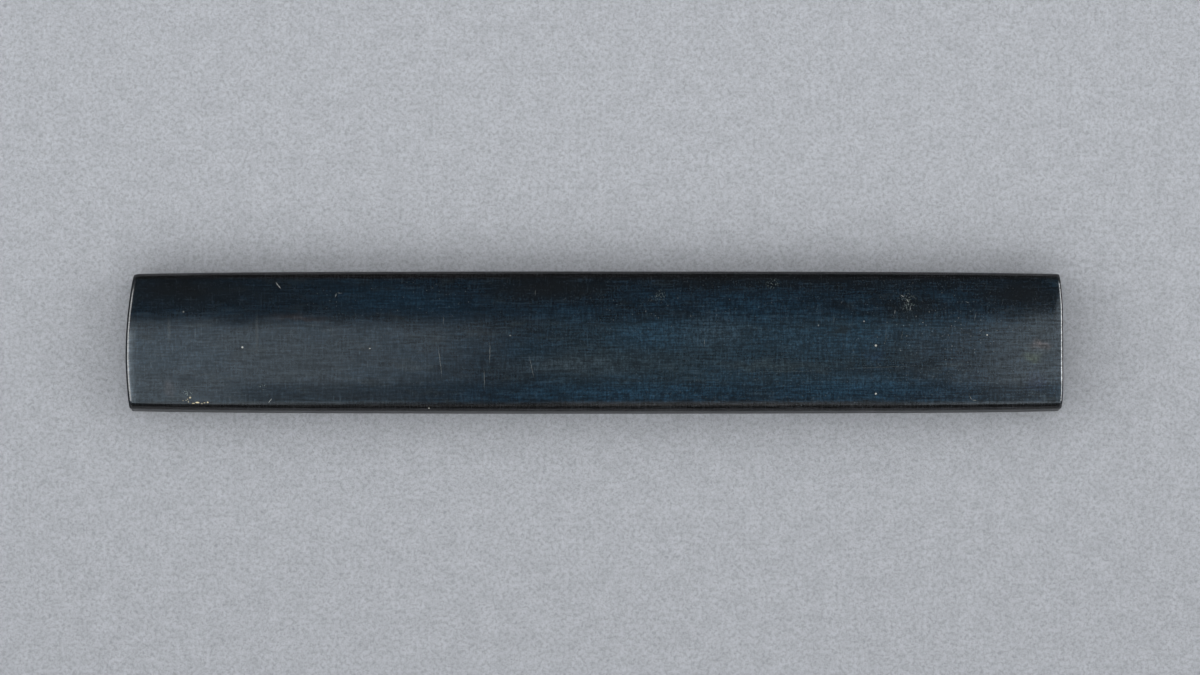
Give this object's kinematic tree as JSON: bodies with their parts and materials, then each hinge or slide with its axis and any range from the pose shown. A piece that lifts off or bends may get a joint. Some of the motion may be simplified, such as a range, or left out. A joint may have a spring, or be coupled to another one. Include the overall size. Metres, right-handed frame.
{
  "type": "knife handle",
  "caption": "Flat hollow metal handle for a small utility knife: crowned back, bowed butt, and a slotted mouth that takes the blade's tang.",
  "frame": {"origin": "centre of the bounding box in X and Y, on the plane the handle rests on", "axes": "+X along the handle from the butt to the mouth, +Z from the resting face to the crowned back"},
  "size_m": [0.097, 0.0146, 0.0052],
  "materials": {
    "back_patina": "polished, blue-black patina with fine hairlines",
    "face_patina": "satin, blue-black patina",
    "end_patina": "satin, blue-black patina",
    "solder": "dull silver solder"
  },
  "bodies": {
    "root": {"back_channel": "back_patina", "face_plate": "face_patina", "butt_plate": "end_patina", "mouth_plate": "end_patina", "upper_side_solder": "solder", "lower_side_solder": "solder", "butt_solder": "solder", "mouth_solder": "solder"}
  },
  "joints": []
}
